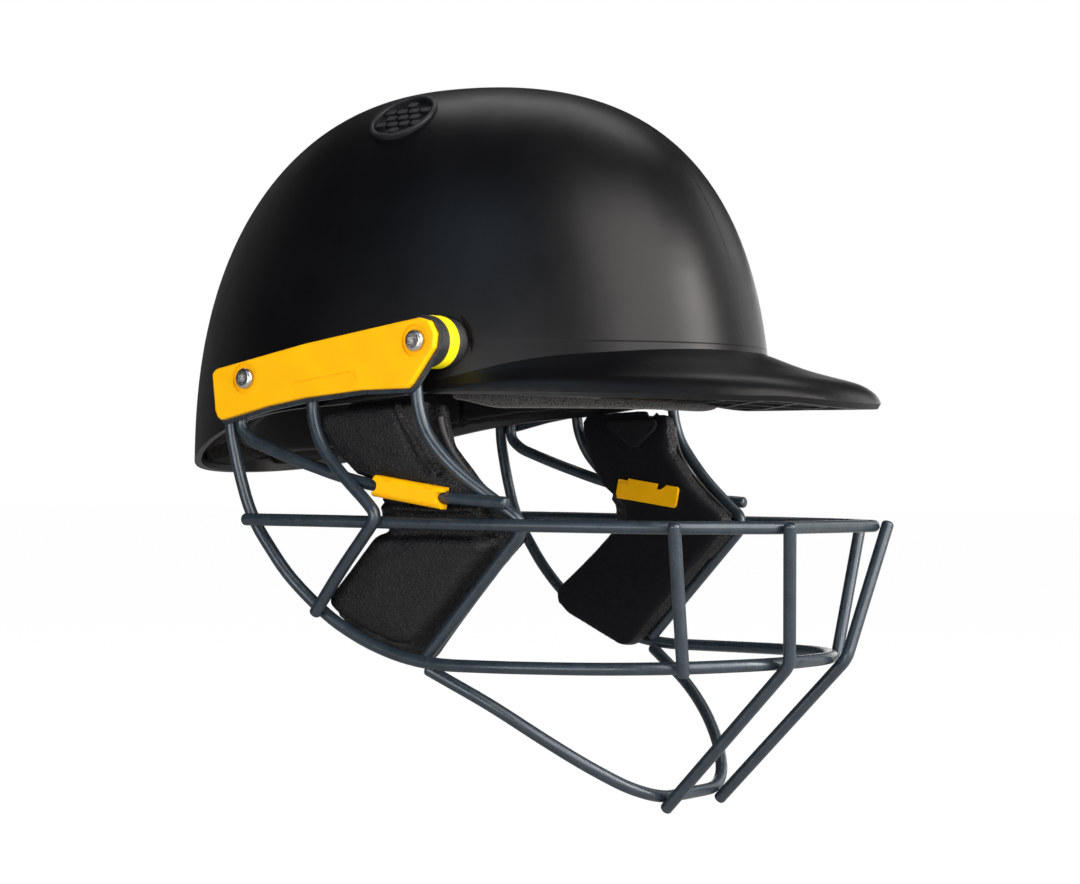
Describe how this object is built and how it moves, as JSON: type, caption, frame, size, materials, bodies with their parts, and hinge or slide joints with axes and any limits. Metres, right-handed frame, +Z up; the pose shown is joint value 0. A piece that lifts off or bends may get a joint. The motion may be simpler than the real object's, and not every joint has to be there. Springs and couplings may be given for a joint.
{
  "type": "cricket helmet",
  "caption": "Cricket helmet: peaked moulded shell with foam liner, bent-wire face guard on bushed side plates, and clip-in cheek pads.",
  "frame": {"origin": "centre of the head opening, on the middle plane, level with the rim at the temples", "axes": "-Y to the front, along the peak; +Z up; +X to the wearer's left"},
  "size_m": [0.2106, 0.3216, 0.3008],
  "materials": {
    "shell": "satin",
    "grille": "satin",
    "cover": "satin",
    "clip": "satin",
    "plate": "satin",
    "bush": "matte",
    "ring": "satin",
    "screw": "polished",
    "nut": "satin",
    "wire": "satin",
    "pad_foam": "matte",
    "piping": "matte",
    "tab": "matte",
    "liner_foam": "matte",
    "headband": "matte",
    "comfort": "matte",
    "clip_plate": "satin"
  },
  "bodies": {
    "helmet": {"outer_shell": "shell", "mounting_screws": "screw", "shell_nuts": "nut", "lower_bar": "wire", "upper_bar": "wire", "chin_bar": "wire", "impact_liner": "liner_foam", "front_headband": "headband", "rear_comfort_pad": "comfort", "crown_comfort_pad": "comfort", "vent_grille_left": "grille", "vent_grille_right": "grille", "plate_cover_left": "cover", "plate_cover_right": "cover", "side_plate_left": "plate", "side_plate_right": "plate", "outer_bush_left": "bush", "outer_bush_right": "bush", "bush_ring_left": "ring", "bush_ring_right": "ring", "inner_bush_left": "bush", "inner_bush_right": "bush", "rear_bush_left": "bush", "rear_bush_right": "bush", "inner_vertical_left": "wire", "inner_vertical_right": "wire", "outer_vertical_left": "wire", "outer_vertical_right": "wire", "front_brace_left": "wire", "front_brace_right": "wire", "clip_rod_left": "wire", "clip_rod_right": "wire", "side_brace_left": "wire", "side_brace_right": "wire", "pad_clip_left": "clip", "pad_clip_right": "clip", "side_comfort_pad_left": "comfort", "side_comfort_pad_right": "comfort"},
    "left_cheek_pad": {"cheek_pad_left": "pad_foam", "pad_piping_left": "piping", "pad_tab_left": "tab", "clip_plate_left": "clip_plate"},
    "right_cheek_pad": {"cheek_pad_right": "pad_foam", "pad_piping_right": "piping", "pad_tab_right": "tab", "clip_plate_right": "clip_plate"}
  },
  "joints": [
    {"name": "left_pad_unclip", "type": "slide", "parent": "helmet", "child": "left_cheek_pad", "axis": [-1, 0, 0], "range_m": [0, 0.03]},
    {"name": "right_pad_unclip", "type": "slide", "parent": "helmet", "child": "right_cheek_pad", "axis": [1, 0, 0], "range_m": [0, 0.03]}
  ]
}
